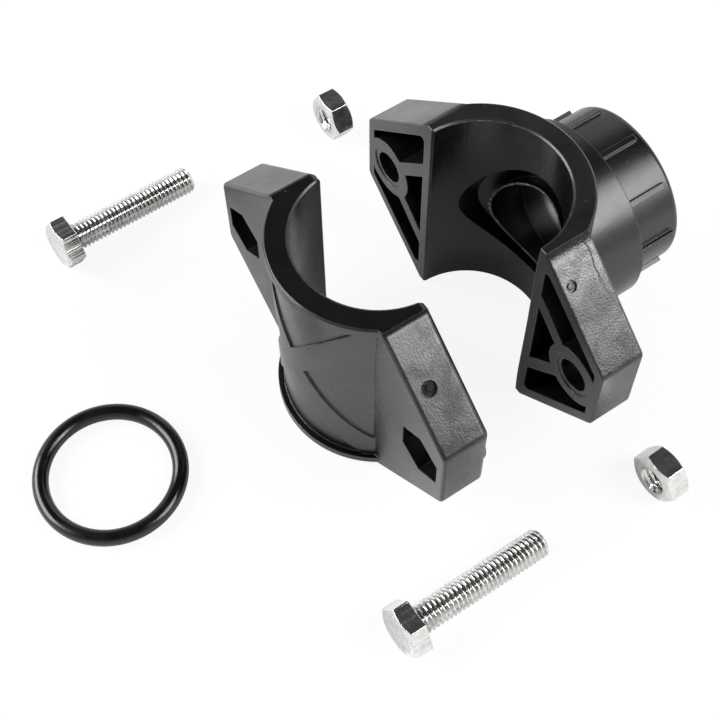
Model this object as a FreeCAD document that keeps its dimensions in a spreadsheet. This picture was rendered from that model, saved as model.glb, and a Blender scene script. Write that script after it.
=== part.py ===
import FreeCAD, Part
import math
import os
import Sketcher

# Two-bolt tapping saddle for a 32 mm plastic pipe, taken apart on a bench.
# Frame: origin on the pipe axis of the clamp half, at the end face it stands on.
# +Z is the pipe axis, +Y runs along the threaded outlet, all lengths are in millimetres.

Vector = FreeCAD.Vector
Placement = FreeCAD.Placement
Rotation = FreeCAD.Rotation

SIZES = (
    # Pipe and the two moulded halves
    ("pipe_radius", 16.0),
    ("saddle_length", 50.0),
    ("saddle_wall", 4.4),
    ("clamp_wall", 4.6),
    ("half_gap", 1.6),
    # Lugs, as seen along the bolts; both offsets count from the pipe's wall
    ("root_offset", 1.8),
    ("bolt_offset", 14.0),
    ("tip_margin", 7.2),
    ("lug_tip_height", 16.8),
    ("saddle_lug_thickness", 9.8),
    ("clamp_lug_thickness", 10.0),
    ("lug_corner_radius", 1.8),
    ("shell_edge", 0.35),
    ("lug_edge_radius", 0.7),
    ("mating_edge_radius", 0.4),
    ("clamp_mating_edge_radius", 1.4),
    # Cores in the mating faces
    ("core_wall", 2.4),
    ("core_floor", 2.0),
    ("tip_wall", 2.0),
    ("boss_radius", 6.8),
    ("seat_radius", 4.7),
    ("seat_depth", 0.2),
    ("core_rib_height", 3.9),
    ("core_rib_foot", 12.2),
    ("core_corner_radius", 0.9),
    # Bolts and nuts, M6
    ("bolt_radius", 3.0),
    ("bolt_length", 30.0),
    ("bolt_tip_chamfer", 0.7),
    ("bolt_clearance", 0.5),
    ("hex_flats", 10.0),
    ("hex_face_share", 0.93),
    ("hex_chamfer_angle", 30.0),
    ("head_height", 4.0),
    ("nut_height", 5.0),
    ("nut_bore_radius", 2.5),
    ("nut_countersink", 0.6),
    ("hex_pocket_clearance", 0.2),
    ("hex_pocket_depth", 4.6),
    # Outside of the clamp half
    ("clamp_rim_height", 2.0),
    ("clamp_recess", 1.3),
    ("cross_relief", 0.4),
    ("cross_bar_height", 8.5),
    # Outlet, with the steps that the collar and then the sleeve stand out
    ("collar_radius", 19.5),
    ("collar_rise", 5.3),
    ("sleeve_radius", 17.0),
    ("sleeve_rise", 11.6),
    ("outlet_edge_radius", 1.2),
    ("grip_rib_count", 10.0),
    ("grip_rib_phase", -7.0),
    ("grip_rib_width", 1.3),
    ("grip_rib_height", 0.8),
    ("grip_rib_margin", 2.2),
    ("thread_major_radius", 13.22),
    ("thread_depth", 17.1),
    ("thread_lead_in", 0.8),
    # How deep ribs and bars start in the skin that carries them
    ("rib_sink", 1.0),
    # Seal and its groove
    ("groove_margin", 1.4),
    ("groove_play", 0.1),
    ("groove_depth", 2.6),
    ("lip_wall", 0.5),
    ("ring_thickness", 3.3),
    ("ring_oversize", 1.0),
    # Gate marks on the sloping faces of two lugs: share of the slope, and way in from the mating face
    ("gate_depth", 0.5),
    ("gate_pin_radius", 0.6),
    ("clamp_gate_radius", 1.45),
    ("clamp_gate_share", 0.49),
    ("clamp_gate_inset", 6.5),
    ("saddle_gate_radius", 1.1),
    ("saddle_gate_share", 0.29),
    ("saddle_gate_inset", 2.0),
    # Where the saddle body and the loose pieces are on the bench
    ("saddle_shift_x", 2.77),
    ("saddle_shift_y", 21.51),
    ("bolt_far_x", -63.11),
    ("bolt_far_y", -40.88),
    ("bolt_far_turn", -2.9),
    ("bolt_near_x", 50.01),
    ("bolt_near_y", -30.14),
    ("bolt_near_turn", -0.5),
    ("nut_far_x", -60.41),
    ("nut_far_y", 26.76),
    ("nut_far_turn", 1.2),
    ("nut_near_x", 52.46),
    ("nut_near_y", 28.72),
    ("nut_near_turn", -1.4),
    ("ring_x", -10.63),
    ("ring_y", -57.29),
)

# Sizes that the sheet works out, so that lugs, bolts, seal and outlet follow the pipe
FORMULAS = (
    ("lug_root", "=pipe_radius + root_offset"),
    ("bolt_spacing", "=2 * (pipe_radius + bolt_offset)"),
    ("lug_reach", "=bolt_spacing / 2 + tip_margin"),
    ("collar_reach", "=pipe_radius + saddle_wall + collar_rise"),
    ("outlet_reach", "=collar_reach + sleeve_rise"),
    ("groove_outer_radius", "=pipe_radius - groove_margin"),
    ("throat_radius", "=groove_outer_radius - ring_thickness - groove_play - lip_wall"),
)

doc = FreeCAD.newDocument("TappingSaddle")
sheet = doc.addObject("Spreadsheet::Sheet", "Sizes")
for row, (alias, value) in enumerate(SIZES + FORMULAS, start=1):
    sheet.set(f"A{row}", alias)
    sheet.set(f"B{row}", str(value))
    sheet.setAlias(f"B{row}", alias)
doc.recompute()


def size(alias):
    """The number that a cell of the sheet holds."""
    return float(sheet.get(alias))


def bind(item, **expressions):
    """Tie properties of an object to expressions on the sheet."""
    for name, expression in expressions.items():
        item.setExpression(name, expression)


def new_sketch(body, role, name, offset=None):
    """A sketch on one of the body's origin planes, moved along its normal by an expression."""
    sketch = body.newObject("Sketcher::SketchObject", name)
    plane = [feature for feature in body.Origin.OriginFeatures if feature.Role == role][0]
    sketch.AttachmentSupport = (plane, [""])
    sketch.MapMode = "FlatFace"
    if offset is not None:
        sketch.setExpression("AttachmentOffset.Base.z", offset)
    return sketch


def drive(sketch, kind, places, value, expression):
    """Add a dimension to a sketch and bind it to an expression."""
    index = sketch.addConstraint(Sketcher.Constraint(kind, *places, value))
    sketch.setExpression(f"Constraints[{index}]", expression)


def pin_point(sketch, edge, point, across, up, start):
    """Fix a point at (across, up), both expressions; "0" puts it on that axis."""
    if across == "0":
        sketch.addConstraint(Sketcher.Constraint("PointOnObject", edge, point, -2))
    else:
        drive(sketch, "DistanceX", (-1, 1, edge, point), start.x, across)
    if up == "0":
        sketch.addConstraint(Sketcher.Constraint("PointOnObject", edge, point, -1))
    else:
        drive(sketch, "DistanceY", (-1, 1, edge, point), start.y, up)


def draw_outline(sketch, corners):
    """A closed outline of straight lines through corners given as expressions."""
    count = len(corners)
    first = sketch.GeometryCount
    steps = [2.0 * math.pi * number / count for number in range(count)]
    starts = [Vector(9.0 * math.cos(step) + 1.0, 9.0 * math.sin(step) + 2.0, 0) for step in steps]
    for number in range(count):
        line = Part.LineSegment(starts[number], starts[(number + 1) % count])
        sketch.addGeometry(line, False)
    for number in range(count):
        following = first + (number + 1) % count
        joint = Sketcher.Constraint("Coincident", first + number, 2, following, 1)
        sketch.addConstraint(joint)
    for number, (across, up) in enumerate(corners):
        pin_point(sketch, first + number, 1, across, up, starts[number])


def draw_circle(sketch, radius, across="0", up="0"):
    """A circle whose radius and centre are expressions."""
    start = Vector(3.0, 2.0, 0)
    edge = sketch.addGeometry(Part.Circle(start, Vector(0, 0, 1), 5.0), False)
    pin_point(sketch, edge, 3, across, up, start)
    drive(sketch, "Radius", (edge,), 5.0, radius)


def draw_arch(sketch, radius, half):
    """Section of a half shell: an arc cut off square at the roots of the lugs, down to a straight line
    that leaves the rounded edge of the mating face to the lugs' plate."""
    side = half.side
    turns = (210.0, 330.0) if side < 0 else (30.0, 150.0)
    circle = Part.Circle(Vector(0, 0, 0), Vector(0, 0, 1), 20.0)
    shape = Part.ArcOfCircle(circle, *(math.radians(turn) for turn in turns))
    arc = sketch.addGeometry(shape, False)
    start, stop = shape.StartPoint, shape.EndPoint
    under_stop = Vector(stop.x, 2.0 * side, 0)
    under_start = Vector(start.x, 2.0 * side, 0)
    far_wall = sketch.addGeometry(Part.LineSegment(stop, under_stop), False)
    chord = sketch.addGeometry(Part.LineSegment(under_stop, under_start), False)
    wall = sketch.addGeometry(Part.LineSegment(under_start, start), False)
    for first, following in ((arc, far_wall), (far_wall, chord), (chord, wall), (wall, arc)):
        sketch.addConstraint(Sketcher.Constraint("Coincident", first, 2, following, 1))
    sketch.addConstraint(Sketcher.Constraint("Coincident", arc, 3, -1, 1))
    sketch.addConstraint(Sketcher.Constraint("Vertical", far_wall))
    sketch.addConstraint(Sketcher.Constraint("Vertical", wall))
    sketch.addConstraint(Sketcher.Constraint("Horizontal", chord))
    drive(sketch, "Radius", (arc,), 20.0, radius)
    drive(sketch, "DistanceX", (-1, 1, arc, 1), start.x, f"{side} * Sizes.lug_root")
    drive(sketch, "DistanceX", (-1, 1, arc, 2), stop.x, f"-({side}) * Sizes.lug_root")
    under = f"{side} * ({half.gap} + {half.mating_edge})"
    drive(sketch, "DistanceY", (-1, 1, chord, 1), under_stop.y, under)


def pad(body, sketch, length, flip=False, both_ways=False):
    """Add the sketch's area over a length; flip goes against the sketch's normal."""
    feature = body.newObject("PartDesign::Pad", sketch.Name + "Pad")
    feature.Profile = sketch
    feature.Reversed = flip
    feature.Midplane = both_ways
    bind(feature, Length=length)
    doc.recompute()
    return feature


def pocket(body, sketch, length=None, flip=False, both_ways=False):
    """Cut the sketch's area, right through where no length is given, and prove that it cuts."""
    before = body.Shape.Volume
    feature = body.newObject("PartDesign::Pocket", sketch.Name + "Pocket")
    feature.Profile = sketch
    feature.Reversed = flip
    feature.Midplane = both_ways
    if length is None:
        feature.Type = "ThroughAll"
    else:
        bind(feature, Length=length)
    doc.recompute()
    if body.Shape.Volume > before - 1.0:
        raise ValueError(f"{feature.Name} cuts nothing")
    return feature


def pick_edges(base, wanted):
    """Names of the feature's edges whose curve, middle and direction pass a test."""
    picked = []
    for number, edge in enumerate(base.Shape.Edges, start=1):
        if edge.Degenerated:
            continue
        middle = edge.valueAt((edge.FirstParameter + edge.LastParameter) / 2.0)
        along = edge.Vertexes[-1].Point - edge.Vertexes[0].Point
        if along.Length > 0:
            along.normalize()
        if wanted(edge, middle, along):
            picked.append(f"Edge{number}")
    return picked


def round_edges(body, base, name, radius, wanted):
    """Round the edges of a feature that pass a test."""
    feature = body.newObject("PartDesign::Fillet", name)
    feature.Base = (base, pick_edges(base, wanted))
    bind(feature, Radius=radius)
    doc.recompute()
    return feature


def break_edges(body, base, name, width, wanted):
    """Chamfer the edges of a feature that pass a test."""
    feature = body.newObject("PartDesign::Chamfer", name)
    feature.Base = (base, pick_edges(base, wanted))
    bind(feature, Size=width)
    doc.recompute()
    return feature


def near(first, second):
    """Whether two lengths agree to a hundredth of a millimetre."""
    return abs(first - second) < 0.01


# Expressions that both halves share
HALF_LENGTH = "Sizes.saddle_length / 2"
BOLT_X = "Sizes.bolt_spacing / 2"
TIP_Z = "Sizes.lug_tip_height / 2"
# Height that the sloping face loses for each millimetre from the root to the tip of a lug
SLOPE = "(Sizes.saddle_length - Sizes.lug_tip_height) / 2 / (Sizes.lug_reach - Sizes.lug_root)"
CORE_IN = "(Sizes.pipe_radius + Sizes.core_wall)"
CORE_OUT = "(Sizes.lug_reach - Sizes.tip_wall)"
# The core's sloping wall keeps core_wall of thickness, measured square to the face
CORE_DROP = f"Sizes.core_wall * sqrt(1 + ({SLOPE}) ^ 2)"


def core_edge(across):
    """Expression for the core's half height at a distance from the pipe axis."""
    return f"({HALF_LENGTH} - {CORE_DROP} - ({across} - Sizes.lug_root) * {SLOPE})"


def upright_corner(edge, middle, along):
    """The four corners at the tips of the lugs that run along the bolts."""
    return abs(along.y) > 0.99 and near(abs(middle.x), size("lug_reach"))


def end_arc(radius):
    """Test for the arcs of a radius round the pipe axis, on the two end faces."""
    def wanted(edge, middle, along):
        if not isinstance(edge.Curve, Part.Circle) or not near(edge.Curve.Radius, radius):
            return False
        return near(abs(middle.z), size("saddle_length") / 2.0)
    return wanted


class Half:
    """What differs between the saddle body (side +1) and the clamp half (side -1)."""

    def __init__(self, name, side, gap, lug_thickness, mating_edge):
        self.body = doc.addObject("PartDesign::Body", name + "_moulding")
        self.side = side
        self.gap = gap
        self.lug_thickness = lug_thickness
        self.mating_edge = mating_edge
        # Sketches on the XZ plane face -Y, so the saddle body grows against their normal
        self.flip = side > 0
        self.core_depth = f"({lug_thickness} - Sizes.core_floor)"

    def mating_y(self):
        """Where the mating face lies along Y."""
        return 0.0 if self.gap == "0" else self.side * size("half_gap")

    def across_bolts(self, name, set_back="0"):
        """A sketch parallel to the mating face, set back into the half from it."""
        return new_sketch(self.body, "XZ_Plane", name, f"-({self.side}) * ({self.gap} + {set_back})")


def add_shell(half, name, wall, recess=None):
    """Half a tube round the pipe, no wider than the roots of the lugs, thinner between its rims."""
    shell = doc.addObject("PartDesign::Body", name)
    outside = f"Sizes.pipe_radius + Sizes.{wall}"
    arch = new_sketch(shell, "XY_Plane", "Shell")
    if recess is None:
        draw_arch(arch, outside, half)
        rim = pad(shell, arch, "Sizes.saddle_length", both_ways=True)
    else:
        draw_arch(arch, f"{outside} - {recess}", half)
        pad(shell, arch, "Sizes.saddle_length", both_ways=True)
        for end in (1, -1):
            arch = new_sketch(shell, "XY_Plane", "EndRim", f"{end} * {HALF_LENGTH}")
            draw_arch(arch, outside, half)
            rim = pad(shell, arch, "Sizes.clamp_rim_height", flip=end > 0)
    outer_arcs = end_arc(size("pipe_radius") + size(wall))
    break_edges(shell, rim, "OuterEdges", "Sizes.shell_edge", outer_arcs)
    joined = half.body.newObject("PartDesign::Boolean", "ShellJoin")
    joined.Group = [shell]
    joined.Type = "Fuse"
    doc.recompute()


def add_lugs(half):
    """The plate that makes both lugs, with its corners and edges rounded."""
    plate = half.across_bolts("Lugs")
    draw_outline(plate, [
        ("Sizes.lug_reach", f"-{TIP_Z}"),
        ("Sizes.lug_reach", TIP_Z),
        ("Sizes.lug_root", HALF_LENGTH),
        ("-Sizes.lug_root", HALF_LENGTH),
        ("-Sizes.lug_reach", TIP_Z),
        ("-Sizes.lug_reach", f"-{TIP_Z}"),
        ("-Sizes.lug_root", f"-{HALF_LENGTH}"),
        ("Sizes.lug_root", f"-{HALF_LENGTH}"),
    ])
    lugs = pad(half.body, plate, half.lug_thickness, half.flip)
    mating = half.mating_y()

    def outer_rim(edge, middle, along):
        outside_shell = abs(middle.x) > size("lug_root") + 1.0
        return outside_shell and abs(along.y) < 0.01 and not near(middle.y, mating)

    def mating_rim(edge, middle, along):
        return abs(along.y) < 0.01 and near(middle.y, mating)

    lugs = round_edges(half.body, lugs, "LugCorners", "Sizes.lug_corner_radius", upright_corner)
    lugs = round_edges(half.body, lugs, "LugEdges", "Sizes.lug_edge_radius", outer_rim)
    round_edges(half.body, lugs, "MatingEdges", half.mating_edge, mating_rim)


def core_lugs(half):
    """Hollow the lugs from the mating face, leaving in each two ribs and a boss with a shallow seat."""
    cores = half.across_bolts("Cores")
    for turn in (1, -1):
        inner = f"{turn} * {CORE_IN}"
        outer = f"{turn} * {CORE_OUT}"
        draw_outline(cores, [
            (inner, f"-{core_edge(CORE_IN)}"),
            (outer, f"-{core_edge(CORE_OUT)}"),
            (outer, core_edge(CORE_OUT)),
            (inner, core_edge(CORE_IN)),
        ])
    # A pocket runs against the sketch normal, so it needs the other sense from a pad
    hollowed = pocket(half.body, cores, half.core_depth, flip=not half.flip)
    columns = (size("pipe_radius") + size("core_wall"), size("lug_reach") - size("tip_wall"))

    def core_corner(edge, middle, along):
        return abs(along.y) > 0.99 and any(near(abs(middle.x), column) for column in columns)

    round_edges(half.body, hollowed, "CoreCorners", "Sizes.core_corner_radius", core_corner)

    # Both ribs of a lug make one chevron from the boss to the shell
    foot = "(Sizes.pipe_radius + Sizes.core_wall / 2)"
    spread = "Sizes.core_rib_foot"
    thick = "Sizes.core_rib_height / 2"
    notch = f"({BOLT_X} - {thick} * ({BOLT_X} - {foot}) / {spread})"
    ribs = half.across_bolts("CoreRibs")
    for turn in (1, -1):
        draw_outline(ribs, [
            (f"{turn} * {foot}", f"{spread} + {thick}"),
            (f"{turn} * {BOLT_X}", thick),
            (f"{turn} * {BOLT_X}", f"-{thick}"),
            (f"{turn} * {foot}", f"-{spread} - {thick}"),
            (f"{turn} * {foot}", f"{thick} - {spread}"),
            (f"{turn} * {notch}", "0"),
            (f"{turn} * {foot}", f"{spread} - {thick}"),
        ])
    pad(half.body, ribs, half.core_depth, half.flip)
    bosses = half.across_bolts("Bosses")
    seats = half.across_bolts("Seats")
    for turn in (1, -1):
        draw_circle(bosses, "Sizes.boss_radius", f"{turn} * {BOLT_X}")
        draw_circle(seats, "Sizes.seat_radius", f"{turn} * {BOLT_X}")
    pad(half.body, bosses, half.core_depth, half.flip)
    pocket(half.body, seats, "Sizes.seat_depth", flip=not half.flip)


def bore_half(half):
    """The seat of the pipe, the two bolt holes and a small chamfer on the end rims."""
    bore = new_sketch(half.body, "XY_Plane", "Bore")
    draw_circle(bore, "Sizes.pipe_radius")
    pocket(half.body, bore, both_ways=True)
    holes = half.across_bolts("BoltHoles")
    for turn in (1, -1):
        draw_circle(holes, "Sizes.bolt_radius + Sizes.bolt_clearance", f"{turn} * {BOLT_X}")
    drilled = pocket(half.body, holes, flip=not half.flip)
    break_edges(half.body, drilled, "BoreEdges", "Sizes.shell_edge", end_arc(size("pipe_radius")))


def add_outlet(half):
    """Collar and sleeve of the outlet, on the Y axis."""
    body = half.body
    collar = new_sketch(body, "XZ_Plane", "Collar")
    draw_circle(collar, "Sizes.collar_radius")
    pad(body, collar, "Sizes.collar_reach", flip=True)
    sleeve = new_sketch(body, "XZ_Plane", "Sleeve")
    draw_circle(sleeve, "Sizes.sleeve_radius")
    added = pad(body, sleeve, "Sizes.outlet_reach", flip=True)

    def mouth_rim(edge, middle, along):
        return isinstance(edge.Curve, Part.Circle) and near(middle.y, size("outlet_reach"))

    round_edges(body, added, "MouthEdge", "Sizes.outlet_edge_radius", mouth_rim)


def add_grip_ribs(half):
    """Narrow ribs along the sleeve, from the collar to near the mouth."""
    body = half.body
    rib = new_sketch(body, "XZ_Plane", "GripRib", "-Sizes.collar_reach")
    rib.setExpression("AttachmentOffset.Rotation.Angle", "Sizes.grip_rib_phase * 1 deg")
    inner = "(Sizes.sleeve_radius - Sizes.rib_sink)"
    outer = "(Sizes.sleeve_radius + Sizes.grip_rib_height)"
    draw_outline(rib, [
        ("Sizes.grip_rib_width / 2", inner),
        ("Sizes.grip_rib_width / 2", outer),
        ("-Sizes.grip_rib_width / 2", outer),
        ("-Sizes.grip_rib_width / 2", inner),
    ])
    length = "Sizes.outlet_reach - Sizes.grip_rib_margin - Sizes.collar_reach"
    first = pad(body, rib, length, flip=True)
    turned = body.newObject("PartDesign::PolarPattern", "GripRibs")
    turned.Originals = [first]
    axis = [feature for feature in body.Origin.OriginFeatures if feature.Role == "Y_Axis"][0]
    turned.Axis = (axis, [""])
    turned.Angle = 360.0
    bind(turned, Occurrences="Sizes.grip_rib_count")
    body.Tip = turned
    doc.recompute()


def bore_outlet(half):
    """The throat into the pipe and the bore at the thread's major radius, with its lead-in."""
    body = half.body
    throat = new_sketch(body, "XZ_Plane", "Throat")
    draw_circle(throat, "Sizes.throat_radius")
    pocket(body, throat)
    thread = new_sketch(body, "XZ_Plane", "ThreadBore", "-(Sizes.outlet_reach - Sizes.thread_depth)")
    draw_circle(thread, "Sizes.thread_major_radius")
    bored = pocket(body, thread)

    def thread_mouth(edge, middle, along):
        at_mouth = isinstance(edge.Curve, Part.Circle) and near(middle.y, size("outlet_reach"))
        return at_mouth and near(edge.Curve.Radius, size("thread_major_radius"))

    break_edges(body, bored, "LeadIn", "Sizes.thread_lead_in", thread_mouth)


def sink_hex_pockets(half):
    """Hexagonal seats for the bolt heads in the outer faces of the lugs, corners up and down."""
    flats = "(Sizes.hex_flats / 2 + Sizes.hex_pocket_clearance)"
    seats = half.across_bolts("HexSeats", half.lug_thickness)
    for turn in (1, -1):
        centre = f"{turn} * {BOLT_X}"
        draw_outline(seats, [
            (f"{centre} + {flats}", f"-{flats} / sqrt(3)"),
            (f"{centre} + {flats}", f"{flats} / sqrt(3)"),
            (centre, f"2 * {flats} / sqrt(3)"),
            (f"{centre} - {flats}", f"{flats} / sqrt(3)"),
            (f"{centre} - {flats}", f"-{flats} / sqrt(3)"),
            (centre, f"-2 * {flats} / sqrt(3)"),
        ])
    pocket(half.body, seats, "Sizes.hex_pocket_depth", flip=half.flip)


def add_cylinder(name, radius, height, place=Placement()):
    """A cylinder bound to the sheet."""
    cylinder = doc.addObject("Part::Cylinder", name)
    bind(cylinder, Radius=radius, Height=height)
    cylinder.Placement = place
    return cylinder


def combine(kind, name, base, tool):
    """A boolean of two objects."""
    result = doc.addObject(kind, name)
    result.Base = base
    result.Tool = tool
    doc.recompute()
    return result


def centred(height):
    """Placement that centres an upright cylinder of a height on the origin."""
    return Placement(Vector(0, 0, -height / 2.0), Rotation())


def seal_groove():
    """Tool for the groove of the ring: an annulus round the throat whose floor follows the pipe."""
    along_outlet = Placement(Vector(0, 0, 0), Rotation(Vector(1, 0, 0), -90.0))
    floor = add_cylinder("GrooveFloor", "Sizes.pipe_radius + Sizes.groove_depth",
                         "Sizes.saddle_length", centred(size("saddle_length")))
    outer = add_cylinder("GrooveOuter", "Sizes.groove_outer_radius", "Sizes.collar_reach", along_outlet)
    inner = add_cylinder("GrooveInner", "Sizes.throat_radius + Sizes.lip_wall", "Sizes.collar_reach",
                         along_outlet)
    disc = combine("Part::Common", "GrooveDisc", floor, outer)
    return combine("Part::Cut", "GrooveTool", disc, inner)


def gate_mark(owner, along):
    """Tool for a moulding gate mark, a dimple with a pin in it, on the sloping face at +X."""
    root = size("lug_root")
    share = size(owner + "_gate_share")
    run = size("lug_reach") - root
    drop = (size("saddle_length") - size("lug_tip_height")) / 2.0
    centre = Vector(root + share * run, along, size("saddle_length") / 2.0 - share * drop)
    outward = Vector(drop, 0, run).normalize()
    turn = Rotation(Vector(0, 0, 1), outward)
    base = centre - outward * size("gate_depth")
    place = Placement(base, turn)
    dimple = add_cylinder(owner + "_dimple", f"Sizes.{owner}_gate_radius", "4 * Sizes.gate_depth", place)
    kept = add_cylinder(owner + "_pin", "Sizes.gate_pin_radius", "Sizes.gate_depth / 2", place)
    return combine("Part::Cut", owner + "_gate", dimple, kept)


def cross_bars():
    """The two broad bars that cross on the outside of the clamp half, corner to corner."""
    body = doc.addObject("PartDesign::Body", "cross_moulding")
    foot_z = f"({HALF_LENGTH} - Sizes.clamp_rim_height)"
    thick = "Sizes.cross_bar_height / 2"
    for number, lean in enumerate((1, -1)):
        bar = new_sketch(body, "XZ_Plane", "CrossBar")
        draw_outline(bar, [
            ("-Sizes.lug_root", f"-({lean}) * {foot_z} - {thick}"),
            ("Sizes.lug_root", f"{lean} * {foot_z} - {thick}"),
            ("Sizes.lug_root", f"{lean} * {foot_z} + {thick}"),
            ("-Sizes.lug_root", f"-({lean}) * {foot_z} + {thick}"),
        ])
        pad(body, bar, "Sizes.pipe_radius + Sizes.clamp_wall")
    between = "Sizes.saddle_length - 2 * Sizes.clamp_rim_height"
    height = size("saddle_length") - 2.0 * size("clamp_rim_height")
    floor = "Sizes.pipe_radius + Sizes.clamp_wall - Sizes.clamp_recess"
    outer = add_cylinder("CrossOuter", f"{floor} + Sizes.cross_relief", between, centred(height))
    inner = add_cylinder("CrossInner", f"{floor} - Sizes.rib_sink", between, centred(height))
    kept = combine("Part::Common", "CrossCommon", body, outer)
    return combine("Part::Cut", "CrossBars", kept, inner)


def build_saddle_body():
    """Upper half: shell, cored lugs, threaded outlet and the groove for the seal."""
    half = Half("saddle_body", 1, "0", "Sizes.saddle_lug_thickness", "Sizes.mating_edge_radius")
    add_lugs(half)
    add_shell(half, "saddle_shell", "saddle_wall")
    add_outlet(half)
    core_lugs(half)
    bore_half(half)
    bore_outlet(half)
    add_grip_ribs(half)
    mark = gate_mark("saddle", size("saddle_gate_inset"))
    tools = combine("Part::Fuse", "SaddleTools", seal_groove(), mark)
    return combine("Part::Cut", "saddle_body", half.body, tools)


def build_clamp_half():
    """Lower half: recessed shell with crossing bars, cored lugs and seats for the bolt heads."""
    half = Half("clamp_half", -1, "Sizes.half_gap", "Sizes.clamp_lug_thickness",
                "Sizes.clamp_mating_edge_radius")
    add_lugs(half)
    add_shell(half, "clamp_shell", "clamp_wall", "Sizes.clamp_recess")
    core_lugs(half)
    bore_half(half)
    sink_hex_pockets(half)
    crossed = combine("Part::Fuse", "Crossed", half.body, cross_bars())
    inset = -(size("half_gap") + size("clamp_gate_inset"))
    mark = gate_mark("clamp", inset)
    return combine("Part::Cut", "clamp_half", crossed, mark)


def hexagon(name, height):
    """An upright hexagonal prism across the flats of the M6 hardware."""
    prism = doc.addObject("Part::Prism", name)
    prism.Polygon = 6
    bind(prism, Circumradius="Sizes.hex_flats / sqrt(3)", Height=height)
    return prism


def chamfer_cone(name, height, place=Placement()):
    """A cone that opens from a hexagon's round face circle and takes off its corners."""
    cone = doc.addObject("Part::Cone", name)
    face = "Sizes.hex_flats / 2 * Sizes.hex_face_share"
    bind(cone, Radius1=face, Height=height,
         Radius2=f"{face} + {height} / tan(Sizes.hex_chamfer_angle * 1 deg)")
    cone.Placement = place
    return cone


def build_bolt(name):
    """Hexagon bolt, from the outer face of its head at the origin to its tip along +Z."""
    head = combine("Part::Common", name + "_head", hexagon(name + "_hexagon", "Sizes.head_height"),
                   chamfer_cone(name + "_cone", "Sizes.head_height"))
    shank = add_cylinder(name + "_shank", "Sizes.bolt_radius",
                         "Sizes.head_height + Sizes.bolt_length - Sizes.bolt_tip_chamfer")
    point = doc.addObject("Part::Cone", name + "_point")
    bind(point, Radius1="Sizes.bolt_radius", Radius2="Sizes.bolt_radius - Sizes.bolt_tip_chamfer",
         Height="Sizes.bolt_tip_chamfer")
    under_tip = size("head_height") + size("bolt_length") - size("bolt_tip_chamfer")
    point.Placement = Placement(Vector(0, 0, under_tip), Rotation())
    stem = combine("Part::Fuse", name + "_stem", shank, point)
    return combine("Part::Fuse", name, head, stem)


def build_nut(name):
    """Hexagon nut with both faces chamfered and its bore countersunk, from the origin along +Z."""
    height = size("nut_height")
    upside_down = Placement(Vector(0, 0, height), Rotation(Vector(1, 0, 0), 180.0))
    lower = combine("Part::Common", name + "_lower", hexagon(name + "_hexagon", "Sizes.nut_height"),
                    chamfer_cone(name + "_cone", "Sizes.nut_height"))
    block = combine("Part::Common", name + "_block", lower,
                    chamfer_cone(name + "_cone_back", "Sizes.nut_height", upside_down))
    bored = combine("Part::Cut", name + "_bored", block,
                    add_cylinder(name + "_bore", "Sizes.nut_bore_radius", "Sizes.nut_height"))
    for suffix, place in (("_sink", Placement()), ("_sink_back", upside_down)):
        sink = doc.addObject("Part::Cone", name + suffix)
        bind(sink, Radius1="Sizes.nut_bore_radius + Sizes.nut_countersink",
             Radius2="Sizes.nut_bore_radius", Height="Sizes.nut_countersink")
        sink.Placement = place
        final = name if suffix == "_sink_back" else name + "_sunk"
        bored = combine("Part::Cut", final, bored, sink)
    return bored


def lying(across, along, height, turn, tilt):
    """Placement of hardware whose axis points along +Y turned towards +X, and tilt below level."""
    turn = math.radians(turn)
    axis = Vector(math.sin(turn) * math.cos(tilt), math.cos(turn) * math.cos(tilt), -math.sin(tilt))
    level = Vector(math.cos(turn), -math.sin(turn), 0)
    return Placement(Vector(across, along, height), Rotation(level, Vector(), axis, "ZXY"))


def lay_bolt(bolt, place):
    """Rest a bolt on a flat of its head and the rim of its tip."""
    flat = size("hex_flats") / 2.0
    grip = size("bolt_length") - size("bolt_tip_chamfer")
    tilt = math.atan((flat - size("bolt_radius")) / grip)
    height = flat * math.cos(tilt) + size("head_height") * math.sin(tilt)
    bolt.Placement = lying(size(place + "_x"), size(place + "_y"), height, size(place + "_turn"), tilt)


def lay_nut(nut, place):
    """Stand a nut on one of its flats."""
    flat = size("hex_flats") / 2.0
    nut.Placement = lying(size(place + "_x"), size(place + "_y"), flat, size(place + "_turn"), 0.0)


def build_o_ring():
    """The seal, lying flat; it is wider than its groove, which bends round the pipe."""
    ring = doc.addObject("Part::Torus", "o_ring")
    middle = "Sizes.groove_outer_radius + Sizes.ring_oversize - Sizes.ring_thickness / 2"
    bind(ring, Radius1=middle, Radius2="Sizes.ring_thickness / 2")
    lift = size("ring_thickness") / 2.0
    ring.Placement = Placement(Vector(size("ring_x"), size("ring_y"), lift), Rotation())
    return ring


saddle_body = build_saddle_body()
clamp_half = build_clamp_half()
standing = size("saddle_length") / 2.0
clamp_half.Placement = Placement(Vector(0, 0, standing), Rotation())
saddle_body.Placement = Placement(
    Vector(size("saddle_shift_x"), size("saddle_shift_y"), standing), Rotation())
pieces = [saddle_body, clamp_half, build_o_ring()]
for place in ("bolt_far", "bolt_near"):
    bolt = build_bolt(place)
    lay_bolt(bolt, place)
    pieces.append(bolt)
for place in ("nut_far", "nut_near"):
    nut = build_nut(place)
    lay_nut(nut, place)
    pieces.append(nut)
doc.recompute()

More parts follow.
